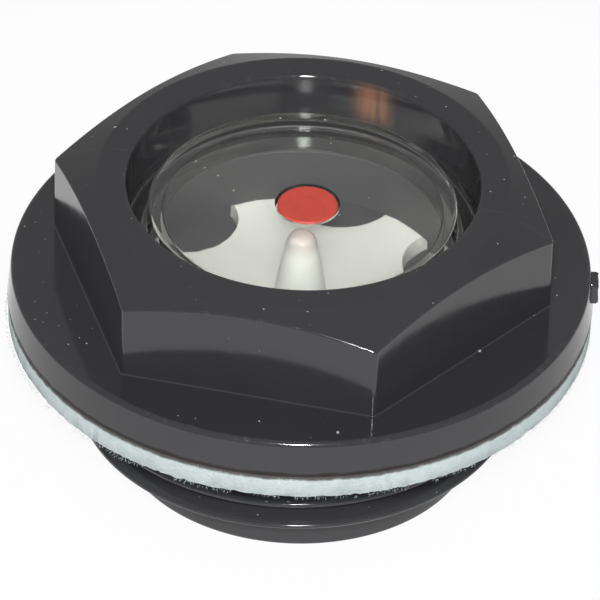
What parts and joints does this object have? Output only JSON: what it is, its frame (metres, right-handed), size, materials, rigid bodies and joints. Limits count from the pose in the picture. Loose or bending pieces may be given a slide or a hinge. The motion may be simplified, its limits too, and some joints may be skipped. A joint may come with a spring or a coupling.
{
  "type": "tank level gauge",
  "caption": "Screw-in sight gauge for an oil tank: black hexagon-head plug with wide flange, fibre gasket, clear window with a red marker, white lobed reflector",
  "frame": {"origin": "centre of the gasket's lower face, where the gauge meets the tank wall", "axes": "+Z along the plug's axis, out of the tank; +X through a corner of the hexagon"},
  "size_m": [0.0439, 0.0438, 0.0232],
  "materials": {
    "body": "glossy black moulded plastic, lightly dusty",
    "gasket": "pale blue-green pressed fibre with a rough edge",
    "window": "clear moulded plastic",
    "marker": "plain red plastic",
    "reflector": "white plastic"
  },
  "bodies": {
    "root": {"body": "body", "gasket": "gasket", "window": "window", "marker": "marker", "reflector": "reflector"}
  },
  "joints": []
}
